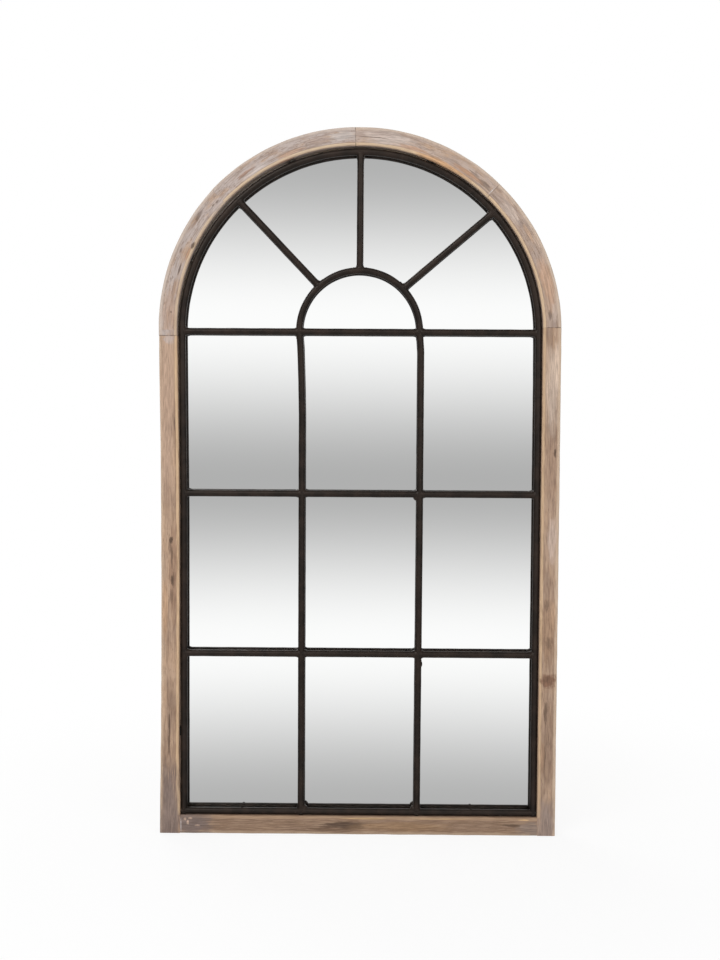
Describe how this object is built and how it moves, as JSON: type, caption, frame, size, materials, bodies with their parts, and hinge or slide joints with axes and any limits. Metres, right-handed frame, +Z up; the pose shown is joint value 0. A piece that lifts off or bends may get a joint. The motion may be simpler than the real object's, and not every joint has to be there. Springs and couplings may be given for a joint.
{
  "type": "window mirror",
  "caption": "Arched windowpane wall mirror: weathered pine frame, black welded-rod grille with a fan top over one mirror sheet, board back with swinging ring hangers.",
  "frame": {"origin": "middle of the frame's bottom edge, halfway through the depth of the timber", "axes": "+Z up, +X to the right seen from the front, -Y out of the mirror's face and +Y towards the wall"},
  "size_m": [0.612, 0.0387, 1.082],
  "materials": {
    "weathered_pine": "greyed brown stain, sanded back to pale wood along the edges",
    "beech_dowel": "bare turned wood",
    "blackened_iron": "satin brown-black paint over rod and welds",
    "zinc_screw": "bright zinc plate",
    "mirror": "clear silvered glass",
    "cardboard": "plain corrugated packing sheet",
    "backing_fibreboard": "bare fibreboard",
    "nickel_hanger": "nickel-plated pressed steel",
    "rubber_bumper": "matt black moulded rubber"
  },
  "bodies": {
    "frame": {"left_stile": "weathered_pine", "right_stile": "weathered_pine", "bottom_rail": "weathered_pine", "arch_lower_left": "weathered_pine", "arch_upper_left": "weathered_pine", "arch_upper_right": "weathered_pine", "arch_lower_right": "weathered_pine", "frame_dowels": "beech_dowel", "ring_bent_rod": "blackened_iron", "ring_base_rod": "blackened_iron", "hub_rod": "blackened_iron", "crossbar_upper_left": "blackened_iron", "crossbar_upper_centre": "blackened_iron", "crossbar_upper_right": "blackened_iron", "crossbar_middle_left": "blackened_iron", "crossbar_middle_centre": "blackened_iron", "crossbar_middle_right": "blackened_iron", "crossbar_lower_left": "blackened_iron", "crossbar_lower_centre": "blackened_iron", "crossbar_lower_right": "blackened_iron", "spoke_left": "blackened_iron", "spoke_centre": "blackened_iron", "spoke_right": "blackened_iron", "weld_beads_lower": "blackened_iron", "weld_beads_middle": "blackened_iron", "weld_beads_upper": "blackened_iron", "weld_beads_fan": "blackened_iron", "weld_beads_base": "blackened_iron", "grille_tabs": "blackened_iron", "grille_tab_screws": "zinc_screw", "backing_screws": "zinc_screw", "hanger_screws": "zinc_screw", "mirror_glass": "mirror", "cardboard_sheet": "cardboard", "backing_board": "backing_fibreboard", "hanger_strap_left": "nickel_hanger", "hanger_strap_right": "nickel_hanger", "wall_bumpers": "rubber_bumper"},
    "left_ring": {"hanger_ring_left": "nickel_hanger"},
    "right_ring": {"hanger_ring_right": "nickel_hanger"}
  },
  "joints": [
    {"name": "left_ring_swing", "type": "hinge", "parent": "frame", "child": "left_ring", "pos_m": [-0.291, 0.02148, 0.7], "axis": [1, 0, 0], "range_deg": [0, 180]},
    {"name": "right_ring_swing", "type": "hinge", "parent": "frame", "child": "right_ring", "pos_m": [0.291, 0.02148, 0.7], "axis": [1, 0, 0], "range_deg": [0, 180]}
  ]
}
